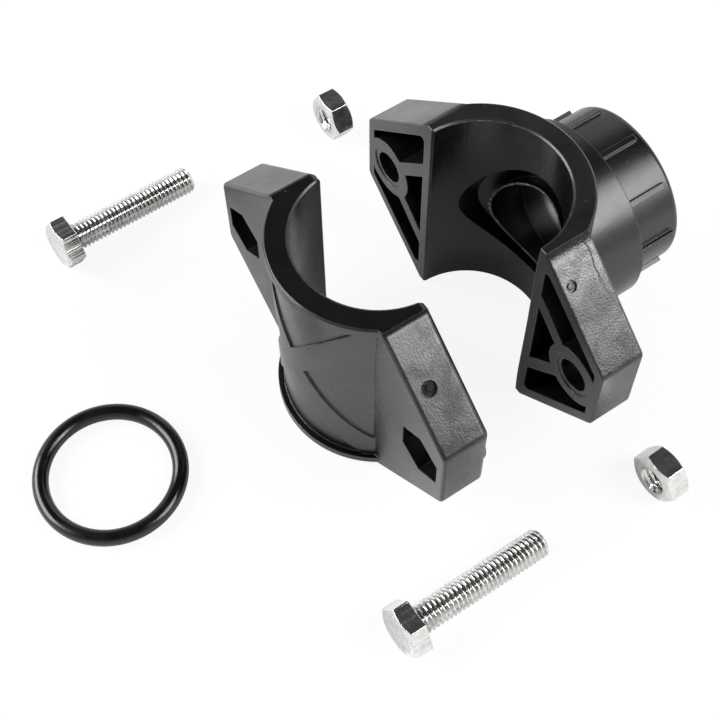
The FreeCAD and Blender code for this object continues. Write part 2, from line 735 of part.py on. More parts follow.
for item in doc.Objects:
    if "Invalid" in item.State or "Error" in item.State:
        raise ValueError(f"{item.Name} did not recompute: {item.State}")
os.makedirs("parts", exist_ok=True)
for piece in pieces:
    piece.Label = piece.Name
    if piece.Shape.isNull() or not piece.Shape.isValid() or len(piece.Shape.Solids) != 1:
        raise ValueError(f"{piece.Label} is not one valid solid")
for piece in pieces:
    box = piece.Shape.BoundBox
    piece.Shape.exportStep(f"parts/{piece.Label}.step")
    print(f"{piece.Label:12s} volume {piece.Shape.Volume:9.1f} mm3",
          f"x {box.XMin:7.2f} {box.XMax:7.2f} y {box.YMin:7.2f} {box.YMax:7.2f}",
          f"z {box.ZMin:6.3f} {box.ZMax:6.2f}")
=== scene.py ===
import math
from functools import partial

import bpy
import bmesh
from mathutils import Matrix, Vector


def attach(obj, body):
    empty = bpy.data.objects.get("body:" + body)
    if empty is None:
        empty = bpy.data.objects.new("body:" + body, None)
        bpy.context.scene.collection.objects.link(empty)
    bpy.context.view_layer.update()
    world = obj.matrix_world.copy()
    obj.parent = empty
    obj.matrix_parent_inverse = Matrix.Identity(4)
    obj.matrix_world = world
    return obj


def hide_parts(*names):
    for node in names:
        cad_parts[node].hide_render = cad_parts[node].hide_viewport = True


# Looks of a two-bolt tapping saddle laid out in pieces on a white bench, seen from above.
# Lengths in the values below are millimetres unless a comment says otherwise.

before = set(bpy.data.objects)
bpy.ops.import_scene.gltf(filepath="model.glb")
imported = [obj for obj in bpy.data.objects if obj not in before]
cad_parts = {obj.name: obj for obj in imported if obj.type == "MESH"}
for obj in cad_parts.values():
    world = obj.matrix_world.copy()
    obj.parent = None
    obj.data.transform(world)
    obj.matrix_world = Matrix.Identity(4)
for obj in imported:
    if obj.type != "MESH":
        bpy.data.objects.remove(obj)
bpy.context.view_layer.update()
scene = bpy.context.scene
MM = 0.001

# Places and sizes repeated from the construction: across, along and turn in degrees
BOLTS = {"bolt_far": (-63.11, -40.88, -2.9), "bolt_near": (50.01, -30.14, -0.5)}
NUTS = {"nut_far": (-60.41, 26.76, 1.2), "nut_near": (52.46, 28.72, -1.4)}
SADDLE_SHIFT = (2.77, 21.51)
SADDLE_LENGTH = 50.0
PIPE_RADIUS = 16.0
LUG_ROOT = 17.8
LUG_REACH = 37.2
LUG_THICKNESS = 10.0
LIP_RADIUS = 10.95
LIP_WALL = 0.5
THROAT_START = 20.0
THROAT_END = 27.0
OUTLET_BORE = 13.3
OUTLET_REACH = 37.3
OUTLET_LEAD_IN = 0.8
HEX_FLATS = 10.0
HEX_INNER_RADIUS = HEX_FLATS / 2.0
HEX_FACE_RADIUS = 0.93 * HEX_INNER_RADIUS
HEX_CHAMFER = math.radians(30.0)
BOLT_RADIUS = 3.0
BOLT_LENGTH = 30.0
BOLT_TIP_CHAMFER = 0.7
HEAD_HEIGHT = 4.0
NUT_HEIGHT = 5.0
NUT_MOUTH = 3.1

# Threads: pitch, valley and crest radius. The nuts' and the outlet's are in holes, with a plain backing
# behind the valleys, and a nut's stops short of its faces by the inset. The crest's share is that of its
# land in half a pitch. Points closer than the merge distance become one.
BOLT_THREAD = {"pitch": 1.0, "valley": 2.45, "crest": 3.0}
NUT_THREAD = {"pitch": 1.0, "valley": 3.0, "crest": 2.5}
OUTLET_THREAD = {"pitch": 25.4 / 14.0, "valley": 13.18, "crest": 12.06}
OUTLET_TURNS = 5
ROWS_PER_TURN = 16
HARDWARE_COLUMNS = 64
OUTLET_COLUMNS = 144
THREAD_BACKING = 0.06
NUT_THREAD_INSET = 0.15
CREST_SHARE = 0.1
MERGE_DISTANCE = 0.002

# Heads and nuts: points round the hexagon, how deep a bolt's stem runs into its head, the small edge at
# the head's root, its dished face as shares of the face's radius, each with its depth, and the angle
# from which an edge stays sharp
HEX_COLUMNS = 96
STEM_IN_HEAD = 1.0
HEAD_ROOT_EDGE = 0.15
HEAD_FACE = ((0.55, 0.12), (0.78, 0.102), (0.84, 0.02), (0.9, 0.0), (1.0, 0.0))
SHARP_ANGLE = math.radians(32.0)

# What differs in the skin of the two mouldings: where their pipe axis stands, the depth of the grain on
# the lug at +X, how much more the slopes shine at the lugs' roots, how wide the fold is there, the
# roughness of the end faces, the gate mark with the reach and share of its torn skin, and where a
# witness line crosses the lug at +X
SADDLE_SKIN = {"shift": SADDLE_SHIFT, "grain": 1.0, "root_polish": 1.1, "fold": 2.6, "end_rough": 0.3,
               "gate": (23.43, 2.0, 45.19), "gate_reach": 1.0, "gate_torn": 0.25, "seam_along": 9.6}
CLAMP_SKIN = {"shift": (0.0, 0.0), "grain": 0.15, "root_polish": 0.5, "fold": 1.2, "end_rough": 0.2,
              "gate": (27.31, -8.1, 41.87), "gate_reach": 1.6, "gate_torn": 0.85, "seam_along": None}

# Patterns in the mouldings' skin, each from the size of one of its patches. The real spark grain is some
# 0.1 mm across, too fine for the picture, so it is drawn coarser. A pattern's value stays between about
# 0.3 and 0.7, so the limits that the materials give it pick a share of its patches.
GRAIN = {"Scale": 1.0 / (0.38 * MM), "Detail": 2.0, "Roughness": 0.6}
PITS = {"Scale": 1.0 / (1.6 * MM), "Detail": 3.0, "Roughness": 0.6}
FLOW_CLOUDS = {"Scale": 1.0 / (14.0 * MM), "Detail": 4.0, "Roughness": 0.55, "Distortion": 0.6}
RUBBED_PATCHES = {"Scale": 1.0 / (6.0 * MM), "Detail": 5.0, "Roughness": 0.62, "Distortion": 0.8}
DRAW_LINES = {"Scale": 1.0 / (2.6 * MM), "Detail": 3.0, "Roughness": 0.6}
TORN_SKIN = {"Scale": 1.0 / (0.7 * MM), "Detail": 3.0, "Roughness": 0.7}
SEAM_BENDS = {"Scale": 1.0 / (5.0 * MM), "Detail": 4.0, "Roughness": 0.6}
EDGE_HIGHLIGHT_STRETCHES = {"Scale": 1.0 / (3.0 * MM), "Detail": 4.0, "Roughness": 0.7}
FLASH_HIGHLIGHT_SHREDS = {"Scale": 1.0 / (1.0 * MM), "Detail": 3.0, "Roughness": 0.75}
FLASH_HIGHLIGHT_STRETCHES = {"Scale": 1.0 / (8.0 * MM), "Detail": 2.0, "Roughness": 0.5}

# Patterns in the plating, whose die lines are drawn out along the hexagon, and on the seal
DIE_LINES = {"Scale": 1.0 / (0.9 * MM), "Detail": 2.0, "Roughness": 0.6}
PLATE_BLOOM = {"Scale": 1.0 / (1.6 * MM), "Detail": 3.0, "Roughness": 0.6}
RUBBER_GRAIN = {"Scale": 1.0 / (0.5 * MM), "Detail": 3.0, "Roughness": 0.6}
OIL_FILM = {"Scale": 1.0 / (5.0 * MM), "Detail": 3.0, "Roughness": 0.5}

# How the lines that a tool leaves are drawn out along Z: in the bore, and on the flats of a hexagon
DRAW_STRETCH = (1.0, 1.0, 0.06)
DIE_STRETCH = (1.0, 1.0, 0.01)

# Relief of each skin, the rounding of its edges, and how strong the plate's bloom is in that relief, and
# the die lines on a bolt and on a nut
PLASTIC_RELIEF = 0.08
PLASTIC_EDGE = 0.28
PLATE_RELIEF = 0.12
PLATE_EDGE = 0.2
RUBBER_RELIEF = 0.012
BEVEL_SAMPLES = 6
BLOOM_SHARE = 0.03
BOLT_DIE_LINES = 2.0
NUT_DIE_LINES = 0.06

# Roughness of each skin, from its smoothest patches to its roughest
PLASTIC_ROUGH = (0.25, 0.35)
PLATE_ROUGH = (0.1, 0.18)
RUBBER_ROUGH = (0.14, 0.28)

# How strong the parts of the mouldings' relief are, as shares of the grain on the lug at +X
PITS_SHARE = 0.25
GRAIN_EVERYWHERE = 0.22
GRAIN_FAR_LUG = 0.3
DRAW_LINES_SHARE = 0.9

# How much shine is lost where a skin is rubbed, in the throat and along the witness line
RUBBED_LOSS = 0.35
THROAT_LOSS = 0.8
SEAM_LOSS = 0.6

# Shine at the lugs' tips, the plain share of shine, the plain roughness and how it changes from face to
# face, and how nearly level the fold at a lug's root catches the light
TIP_POLISH = 0.15
PLAIN_SHINE = 0.5
PLAIN_ROUGH = 0.3
SLOPE_ROUGHER = 0.03
BORE_ROUGHER = -0.06
FOLD_BEND = 0.9

# An edge gets a painted highlight where its rounding turns from the face: cosines of the angles where that
# starts and is full, then the share of painted highlight in its faintest and its strongest stretches
EDGE_TURN = (0.995, 0.93)
EDGE_HIGHLIGHT_SHARE = (0.25, 1.0)

# Colours of the mouldings: the black where it is deepest and palest, the painted highlight on edges, and
# the pale grey of the painted highlight on flash and of dust
DEEP_BLACK = "#060607"
PALE_BLACK = "#0a0a0b"
EDGE_HIGHLIGHT_GREY = "#4a4a47"
HIGHLIGHT_AND_DUST_GREY = "#8a8983"

# How far a face looks up, from 0 for an upright one to 1 for a level one: where a slope starts, where it
# ends and where an end face starts
SLOPE_STARTS = (0.3, 0.6)
SLOPE_ENDS = (0.97, 0.9)
END_STARTS = (0.97, 0.99)

# How far off a face a place still counts as on it, then where it no longer does
ON_SLOPE = (2.0, 2.5)
ON_BORE = (0.01, 0.06)
ON_THROAT = (0.1, 0.3)
ON_FLATS = 0.1
ON_THREAD = 0.3

# Where one skin gives way to another: at the throat's outer end, inside a lug's root, halfway between the
# lugs, and inside and outside the reach of a gate
THROAT_FADE = 1.5
ROOT_MARGIN = 0.1
NEAR_SIDE = (-1.0, 1.0)
GATE_EDGE = (0.2, 0.15)

# Fine lines, each with the half width of its core and of the whole: a witness line, which wanders and
# grows faint away from the pipe, a painted highlight along flash just outside the bore's rim, and one along
# flash on the lip
SEAM_WIDTH = (0.05, 0.22)
SEAM_WANDER = 3.0
SEAM_CLEAR = 21.0
SEAM_FAINT = 30.0
SEAM_SHARE = (0.1, 0.8)
RIM_HIGHLIGHT_OFFSET = 0.05
RIM_WIDTH = (0.03, 0.12)
RIM_DEPTH = (0.2, 0.3)
LIP_WIDTH = (0.3 * LIP_WALL, 0.6 * LIP_WALL)

# Specks of dust: how far apart, their core and whole radius as shares of that, and how pale
DUST_SPACING = 2.8
SPECK = (0.025, 0.045)
SPECK_PALE = 0.6

# The photograph's view, found from the corners of both halves: angles are degrees
CAMERA_TURN = -56.561
CAMERA_RISE = 59.382
CAMERA_ROLL = -0.993
CAMERA_TARGET = (-4.896, -1.066, 0.0)
CAMERA_DISTANCE = 284.34
CAMERA_LENS = 67.627
CAMERA_SENSOR = 36.0
CAMERA_CLIP = (20.0, 20000.0)

# Softboxes: direction from the object, then distance, width and height in metres, and radiance
SOFTBOXES = {
    "key_softbox": ((0.59, 0.50, 0.64), 0.55, 0.29, 0.34, 9.2),
    "front_softbox": ((-0.55, -0.65, 0.55), 0.8, 0.7, 0.5, 8.2),
    "rear_softbox": ((-0.45, 0.75, 0.50), 0.9, 0.6, 0.4, 0.8),
}
LIT_SPOT = (0.0, -20.0, 20.0)

# The bench: half its width, how far its top lies under the object, how far out its white rises to full,
# and the share of white lent to it where it is looked at near the object and where it is mirrored
BENCH_REACH = 3000.0
BENCH_DROP = 0.02
BENCH_RISE = (120.0, 450.0)
BENCH_LIFT = 0.9
MIRRORED_LIFT = 0.15

# The nodes used most, and settings of theirs. A mix node's own inputs are 6 and 7 for colours, and 4
# and 5 for vectors.
MATH = "ShaderNodeMath"
RANGE = "ShaderNodeMapRange"
NOISE = "ShaderNodeTexNoise"
MIX = "ShaderNodeMix"
SPLIT = "ShaderNodeSeparateXYZ"
SMOOTH = {"interpolation_type": "SMOOTHSTEP"}
COLOURS = {"data_type": "RGBA", "output": 2}
VECTORS = {"data_type": "VECTOR", "output": 1}


# Helpers for lengths, colour and nodes

def mm(*lengths):
    """Lengths in millimetres as metres."""
    return [length * MM for length in lengths]


def linear(hex_colour):
    """An sRGB hex colour as linear red, green, blue and alpha."""
    parts = [int(hex_colour[start:start + 2], 16) / 255.0 for start in (1, 3, 5)]
    parts = [((part + 0.055) / 1.055) ** 2.4 if part > 0.04045 else part / 12.92 for part in parts]
    return parts + [1.0]


def feed(node, inputs):
    """Set a node's inputs by name or number. One that is another node's output is linked."""
    for key, value in inputs.items():
        if isinstance(value, bpy.types.NodeSocket):
            node.id_data.links.new(value, node.inputs[key])
        else:
            node.inputs[key].default_value = value


def add_node(tree, kind, *inputs, named=None, output=0, **settings):
    """Add a node with its settings and links, and give back one of its outputs, or all of them for None.

    Inputs fill its sockets in order, and named ones go by name or number.
    """
    node = tree.nodes.new(kind)
    for name, value in settings.items():
        setattr(node, name, value)
    feed(node, dict(enumerate(inputs)))
    feed(node, named or {})
    return node.outputs if output is None else node.outputs[output]


def new_material(name, colour, rough, metallic=0.0, ior=1.5):
    """A material with what adds nodes to it, its shader and the object coordinates."""
    material = bpy.data.materials.new(name)
    material.use_nodes = True
    shader = material.node_tree.nodes["Principled BSDF"]
    feed(shader, {"Base Color": linear(colour), "Roughness": rough, "Metallic": metallic, "IOR": ior})
    add = partial(add_node, material.node_tree)
    return material, add, shader, add("ShaderNodeTexCoord", output="Object")


def off_axis(add, first, second):
    """Distance from the axis that is square to both parts of a place."""
    squares = [add(MATH, part, part, operation="MULTIPLY") for part in (first, second)]
    return add(MATH, add(MATH, *squares, operation="ADD"), operation="SQRT")


# Materials

def moulding_places(add, local):
    """Where on a moulding a place is: distances, and shares from 0 to 1 for being on a lug's slope, on an
    end of the tube, in the bore and in the outlet's throat."""
    x, y, z = add(SPLIT, local, output=None)
    facing = add("ShaderNodeNewGeometry", output="Normal")
    level = add(SPLIT, facing, output=2)
    across = add(MATH, x, operation="ABSOLUTE")
    off_mating = add(MATH, y, operation="ABSOLUTE")
    above = add(MATH, z, SADDLE_LENGTH / 2.0 * MM, operation="SUBTRACT")
    from_axis = off_axis(add, x, y)
    from_outlet = off_axis(add, x, above)

    beside = mm(LUG_THICKNESS + ON_SLOPE[1], LUG_THICKNESS + ON_SLOPE[0])
    beside_mating = add(RANGE, off_mating, *beside, **SMOOTH)
    not_steep = add(RANGE, level, *SLOPE_STARTS, **SMOOTH)
    not_level = add(RANGE, level, *SLOPE_ENDS, **SMOOTH)
    sloping = add(MATH, not_steep, not_level, operation="MULTIPLY")
    sloping = add(MATH, sloping, beside_mating, operation="MULTIPLY")
    past_root = add(MATH, across, (LUG_ROOT - ROOT_MARGIN) * MM, operation="GREATER_THAN")
    on_lug = add(MATH, sloping, past_root, operation="MULTIPLY")
    on_end = add(RANGE, level, *END_STARTS, **SMOOTH)

    bore_wall = mm(PIPE_RADIUS + ON_BORE[1], PIPE_RADIUS + ON_BORE[0])
    in_bore = add(RANGE, from_axis, *bore_wall, **SMOOTH)
    past_seal = add(RANGE, y, *mm(PIPE_RADIUS, THROAT_START), **SMOOTH)
    before_thread = add(RANGE, y, *mm(THROAT_END, THROAT_END - THROAT_FADE), **SMOOTH)
    behind_seal = add(MATH, past_seal, before_thread, operation="MULTIPLY")
    throat_wall = mm(OUTLET_BORE + ON_THROAT[1], OUTLET_BORE + ON_THROAT[0])
    by_throat_wall = add(RANGE, from_outlet, *throat_wall, **SMOOTH)
    in_throat = add(MATH, behind_seal, by_throat_wall, operation="MULTIPLY")
    return {"x": x, "y": y, "z": z, "facing": facing, "across": across, "from_axis": from_axis,
            "from_outlet": from_outlet, "on_lug": on_lug, "on_end": on_end, "in_bore": in_bore,
            "in_throat": in_throat}


def moulding_relief(add, local, at, skin):
    """Height of the skin's relief, and how far rubbing, the throat, the gate and a witness line dull it."""
    grain = add(NOISE, local, named=GRAIN)
    pits = add(NOISE, local, named=PITS)
    height = add(MATH, pits, PITS_SHARE, grain, operation="MULTIPLY_ADD")
    near_lug = add(RANGE, at["x"], *mm(*NEAR_SIDE), GRAIN_FAR_LUG, 1.0, **SMOOTH)
    lug_depth = add(MATH, at["on_lug"], near_lug, operation="MULTIPLY")
    lug_depth = add(MATH, lug_depth, skin["grain"], operation="MULTIPLY")
    depth = add(MATH, lug_depth, GRAIN_EVERYWHERE, operation="ADD")
    height = add(MATH, height, depth, operation="MULTIPLY")
    upright = add("ShaderNodeMapping", local, named={"Scale": DRAW_STRETCH})
    drawn = add(MATH, at["in_bore"], add(NOISE, upright, named=DRAW_LINES), operation="MULTIPLY")
    height = add(MATH, drawn, DRAW_LINES_SHARE, height, operation="MULTIPLY_ADD")

    rubbed = add(RANGE, add(NOISE, local, named=RUBBED_PATCHES), 0.38, 0.6, RUBBED_LOSS, 0.0, **SMOOTH)
    rubbed = add(MATH, at["on_lug"], rubbed, operation="MULTIPLY")
    matt = add(MATH, at["in_throat"], THROAT_LOSS, operation="MULTIPLY")
    dulled = add(MATH, rubbed, matt, operation="MAXIMUM")

    gate = Vector(skin["gate"]) * MM
    off_gate = add("ShaderNodeVectorMath", local, gate, output="Value", operation="DISTANCE")
    gate_edge = mm(skin["gate_reach"] + GATE_EDGE[1], skin["gate_reach"] - GATE_EDGE[0])
    torn = add(RANGE, off_gate, *gate_edge, 0.0, skin["gate_torn"], **SMOOTH)
    height = add(MATH, torn, add(NOISE, local, named=TORN_SKIN), height, operation="MULTIPLY_ADD")
    dulled = add(MATH, dulled, torn, operation="MAXIMUM")
    if skin["seam_along"] is None:
        return height, dulled

    wander = add(MATH, add(NOISE, local, named=SEAM_BENDS), SEAM_WANDER * MM, at["y"],
                 operation="MULTIPLY_ADD")
    off_seam = add(MATH, wander, skin["seam_along"] * MM, operation="SUBTRACT")
    off_seam = add(MATH, off_seam, operation="ABSOLUTE")
    near_side = add(MATH, at["x"], 0.0, operation="GREATER_THAN")
    on_near = add(MATH, at["on_lug"], near_side, operation="MULTIPLY")
    line = add(RANGE, off_seam, *mm(SEAM_WIDTH[1], SEAM_WIDTH[0]), **SMOOTH)
    line = add(MATH, on_near, line, operation="MULTIPLY")
    fading = add(RANGE, at["across"], *mm(SEAM_FAINT, SEAM_CLEAR), *SEAM_SHARE, **SMOOTH)
    seam = add(MATH, line, fading, operation="MULTIPLY")
    height = add(MATH, height, seam, operation="SUBTRACT")
    seam_dull = add(MATH, seam, SEAM_LOSS, operation="MULTIPLY")
    return height, add(MATH, dulled, seam_dull, operation="MAXIMUM")


def moulding_colour(add, local, at, soft, cloud):
    """Black that clouds a little, with a painted grey highlight on the rounded edges, a painted pale
    highlight along ragged flash in thin broken lines, and dust.
    """
    # Painted highlight: the rounded edges are tinted grey in patches, in place of the light they catch.
    bend = add("ShaderNodeVectorMath", soft, at["facing"], output="Value", operation="DOT_PRODUCT")
    at_edge = add(RANGE, bend, *EDGE_TURN, **SMOOTH)
    patchy = add(RANGE, add(NOISE, local, named=EDGE_HIGHLIGHT_STRETCHES), 0.35, 0.65, *EDGE_HIGHLIGHT_SHARE, **SMOOTH)
    painted_edge_highlight = add(MATH, at_edge, patchy, operation="MULTIPLY")
    clouded = add(RANGE, cloud, 0.35, 0.65, **SMOOTH)
    tint = add(MIX, clouded, named={6: linear(DEEP_BLACK), 7: linear(PALE_BLACK)}, **COLOURS)
    tint = add(MIX, painted_edge_highlight, named={6: tint, 7: linear(EDGE_HIGHLIGHT_GREY)}, **COLOURS)

    # Painted highlight: a pale, ragged line along the flash on the bore's rim and on the seal's lip, in
    # place of the light that catches them. The dust specks share its pale grey.
    off_rim = add(MATH, at["from_axis"], (PIPE_RADIUS + RIM_HIGHLIGHT_OFFSET) * MM, operation="SUBTRACT")
    off_rim = add(MATH, off_rim, operation="ABSOLUTE")
    off_end = add(MATH, SADDLE_LENGTH * MM, at["z"], operation="SUBTRACT")
    by_rim = add(RANGE, off_rim, *mm(RIM_WIDTH[1], RIM_WIDTH[0]), **SMOOTH)
    by_end = add(RANGE, off_end, *mm(RIM_DEPTH[1], RIM_DEPTH[0]), **SMOOTH)
    rim = add(MATH, by_rim, by_end, operation="MULTIPLY")
    off_lip = add(MATH, at["from_outlet"], LIP_RADIUS * MM, operation="SUBTRACT")
    off_lip = add(MATH, off_lip, operation="ABSOLUTE")
    by_lip = add(RANGE, off_lip, *mm(LIP_WIDTH[1], LIP_WIDTH[0]), **SMOOTH)
    outlet_side = add(MATH, at["y"], 0.0, operation="GREATER_THAN")
    outlet_side = add(MATH, at["in_bore"], outlet_side, operation="MULTIPLY")
    lip = add(MATH, by_lip, outlet_side, operation="MULTIPLY")
    shreds = add(RANGE, add(NOISE, local, named=FLASH_HIGHLIGHT_SHREDS), 0.42, 0.6, **SMOOTH)
    stretches = add(RANGE, add(NOISE, local, named=FLASH_HIGHLIGHT_STRETCHES), 0.35, 0.6, **SMOOTH)
    ragged = add(MATH, shreds, stretches, operation="MULTIPLY")
    painted_flash_highlight = add(MATH, add(MATH, rim, lip, operation="MAXIMUM"), ragged, operation="MULTIPLY")

    off_speck = add("ShaderNodeTexVoronoi", local, named={"Scale": 1.0 / (DUST_SPACING * MM)},
                    output="Distance")
    dust = add(RANGE, off_speck, SPECK[1], SPECK[0], 0.0, SPECK_PALE, **SMOOTH)
    highlight_and_dust = add(MATH, painted_flash_highlight, dust, operation="MAXIMUM")
    return add(MIX, highlight_and_dust, named={6: tint, 7: linear(HIGHLIGHT_AND_DUST_GREY)}, **COLOURS)


def moulded_plastic(name, skin):
    """Black glass-filled polypropylene, injection moulded: a satin skin with a fine spark grain, which
    glitters where light grazes the sloping faces, with rubbed patches and cloudy flow marks, draw lines
    in the bore, a matt throat, a painted grey highlight on the rounded edges, a painted pale highlight
    along the flash on the bore's rims and on the seal's lip, and a few specks of dust."""
    material, add, shader, place = new_material(name, PALE_BLACK, PLAIN_ROUGH, ior=1.56)
    pipe_axis = (*mm(*skin["shift"]), 0.0)
    local = add("ShaderNodeMapping", place, pipe_axis, vector_type="TEXTURE")
    at = moulding_places(add, local)
    height, dulled = moulding_relief(add, local, at, skin)
    cloud = add(NOISE, local, named=FLOW_CLOUDS)

    # Soft edges, and the wide fold between a tube's end and the slope of a lug
    soft = add("ShaderNodeBevel", PLASTIC_EDGE * MM, samples=BEVEL_SAMPLES)
    by_root = add(RANGE, at["across"], *mm(LUG_ROOT, LUG_ROOT + skin["fold"]), FOLD_BEND, 0.0, **SMOOTH)
    fold = add(MATH, at["on_lug"], by_root, operation="MULTIPLY")
    folded = add(MIX, fold, named={4: soft, 5: (0.0, 0.0, 1.0)}, **VECTORS)
    normal = add("ShaderNodeBump", named={"Height": height, "Distance": PLASTIC_RELIEF * MM,
                                          "Normal": folded})

    # The slopes shine most at the lugs' roots; rubbing, the throat and the gate take the shine away
    polish = add(RANGE, at["across"], *mm(LUG_ROOT, LUG_REACH), skin["root_polish"], TIP_POLISH)
    polish = add(MATH, at["on_lug"], polish, operation="MULTIPLY")
    shine = add(MATH, polish, PLAIN_SHINE, PLAIN_SHINE, operation="MULTIPLY_ADD")
    shine = add(MATH, shine, add(MATH, 1.0, dulled, operation="SUBTRACT"), operation="MULTIPLY")
    rough = add(RANGE, cloud, 0.3, 0.7, *PLASTIC_ROUGH, **SMOOTH)
    end_rougher = skin["end_rough"] - PLAIN_ROUGH
    for share, change in (("on_lug", SLOPE_ROUGHER), ("on_end", end_rougher), ("in_bore", BORE_ROUGHER)):
        rough = add(MATH, at[share], change, rough, operation="MULTIPLY_ADD")

    colour = moulding_colour(add, local, at, soft, cloud)
    feed(shader, {"Base Color": colour, "Roughness": rough, "Specular IOR Level": shine, "Normal": normal})
    return material


def plated_steel(name, matrix, die_lines):
    """Bright zinc over cold-formed steel: mirror-like but never quite smooth, with a little bloom in the
    plate, and fine lines of the given strength that the die left along the flats of the hexagon."""
    material, add, shader, place = new_material(name, "#dbdbd9", 0.17, metallic=1.0)
    local = add("ShaderNodeMapping", place, matrix.translation, matrix.to_euler(), vector_type="TEXTURE")
    drawn_out = add("ShaderNodeMapping", local, named={"Scale": DIE_STRETCH})
    lines = add(NOISE, drawn_out, named=DIE_LINES)
    bloom = add(NOISE, local, named=PLATE_BLOOM)
    x, y, _ = add(SPLIT, local, output=None)
    from_axis = off_axis(add, x, y)
    on_flats = add(RANGE, from_axis, *mm(HEX_INNER_RADIUS - ON_FLATS, HEX_INNER_RADIUS), **SMOOTH)
    lines = add(MATH, lines, die_lines, operation="MULTIPLY")
    lines = add(MATH, lines, on_flats, operation="MULTIPLY")
    height = add(MATH, bloom, BLOOM_SHARE, lines, operation="MULTIPLY_ADD")

    # Soft edges on the hexagon, none on the thread
    facing = add("ShaderNodeNewGeometry", output="Normal")
    soft = add("ShaderNodeBevel", PLATE_EDGE * MM, samples=BEVEL_SAMPLES)
    off_thread = add(MATH, from_axis, (BOLT_RADIUS + ON_THREAD) * MM, operation="GREATER_THAN")
    edged = add(MIX, off_thread, named={4: facing, 5: soft}, **VECTORS)
    normal = add("ShaderNodeBump", named={"Height": height, "Distance": PLATE_RELIEF * MM,
                                          "Normal": edged})
    rough = add(RANGE, bloom, 0.3, 0.75, *PLATE_ROUGH, **SMOOTH)
    bloomed = add(RANGE, bloom, 0.35, 0.65, **SMOOTH)
    tint = add(MIX, bloomed, named={6: linear("#c4c4c2"), 7: linear("#dadad8")}, **COLOURS)
    feed(shader, {"Base Color": tint, "Roughness": rough, "Normal": normal})
    return material


def seal_rubber():
    """Nitrile rubber, moulded and lightly oiled: a deep black with a tight, slightly broken highlight."""
    material, add, shader, place = new_material("seal_rubber", "#0b0b0c", 0.24, ior=1.52)
    grain = add(NOISE, place, named=RUBBER_GRAIN)
    film = add(NOISE, place, named=OIL_FILM)
    normal = add("ShaderNodeBump", named={"Height": grain, "Distance": RUBBER_RELIEF * MM})
    rough = add(RANGE, film, 0.3, 0.7, *RUBBER_ROUGH, **SMOOTH)
    oiled = add(RANGE, film, 0.35, 0.65, **SMOOTH)
    tint = add(MIX, oiled, named={6: linear("#060606"), 7: linear("#0b0b0c")}, **COLOURS)
    feed(shader, {"Base Color": tint, "Roughness": rough, "Normal": normal})
    return material


# Threads

def thread_tree():
    """Node tree that turns a grid into a right-hand screw thread along Z, open at both ends.

    The grid is sheared along the helix, so that every ridge follows its lines. Side is 1 for a thread
    on a rod and -1 for one in a hole. The ends are cut back at 45 degrees from the end radius.
    """
    tree = bpy.data.node_groups.new("screw_thread", "GeometryNodeTree")
    face = tree.interface
    face.new_socket("Geometry", in_out="INPUT", socket_type="NodeSocketGeometry")
    for name, kind in (("Pitch", "Float"), ("Length", "Float"), ("Valley radius", "Float"),
                       ("Crest radius", "Float"), ("End radius", "Float"), ("Side", "Float"),
                       ("Turns", "Int"), ("Columns", "Int"), ("Finish", "Material")):
        face.new_socket(name, in_out="INPUT", socket_type="NodeSocket" + kind)
    face.new_socket("Geometry", in_out="OUTPUT", socket_type="NodeSocketGeometry")
    add = partial(add_node, tree)
    given = add("NodeGroupInput", output=None)
    pitch, length, side = given["Pitch"], given["Length"], given["Side"]

    rows = add(MATH, given["Turns"], float(ROWS_PER_TURN), 1.0, operation="MULTIPLY_ADD")
    grid = add("GeometryNodeMeshGrid", 1.0, 1.0, given["Columns"], rows)
    spot = add(SPLIT, add("GeometryNodeInputPosition"), output=None)
    around = add(MATH, spot[0], 0.5, operation="ADD")
    share = add(MATH, spot[1], 0.5, operation="ADD")

    # Turns counted along the helix, starting a turn early on a rod so that both ends are filled
    early = add(MATH, side, 0.5, 0.5, operation="MULTIPLY_ADD")
    turns = add(MATH, share, given["Turns"], operation="MULTIPLY")
    turns = add(MATH, turns, early, operation="SUBTRACT")
    climb = add(MATH, around, side, turns, operation="MULTIPLY_ADD")
    climb = add(MATH, pitch, climb, operation="MULTIPLY")
    height = add(MATH, 0.0, add(MATH, climb, length, operation="MINIMUM"), operation="MAXIMUM")

    # A rolled thread: straight flanks between a narrow crest and a sharp valley
    phase = add(MATH, add(MATH, turns, 1.0, operation="ADD"), operation="FRACT")
    off_crest = add(MATH, phase, 2.0, -1.0, operation="MULTIPLY_ADD")
    off_crest = add(MATH, off_crest, operation="ABSOLUTE")
    ridge = add(RANGE, off_crest, CREST_SHARE, 1.0, given["Crest radius"], given["Valley radius"])
    to_end = add(MATH, length, height, operation="SUBTRACT")
    from_end = add(MATH, height, to_end, operation="MINIMUM")
    limit = add(MATH, from_end, side, given["End radius"], operation="MULTIPLY_ADD")
    signed = [add(MATH, side, radius, operation="MULTIPLY") for radius in (ridge, limit)]
    radius = add(MATH, side, add(MATH, *signed, operation="MINIMUM"), operation="MULTIPLY")

    angle = add(MATH, add(MATH, around, side, operation="MULTIPLY"), 2.0 * math.pi, operation="MULTIPLY")
    round_it = [add(MATH, radius, add(MATH, angle, operation=wave), operation="MULTIPLY")
                for wave in ("COSINE", "SINE")]
    moved = add("ShaderNodeCombineXYZ", *round_it, height)
    turned = add("GeometryNodeSetPosition", grid, named={"Position": moved})
    merged = add("GeometryNodeMergeByDistance", turned, named={"Distance": MERGE_DISTANCE * MM})
    real = add("GeometryNodeRealizeInstances", merged)
    dressed = add("GeometryNodeSetMaterial", real, named={"Material": given["Finish"]})
    add("NodeGroupOutput", dressed, output=None)
    return tree


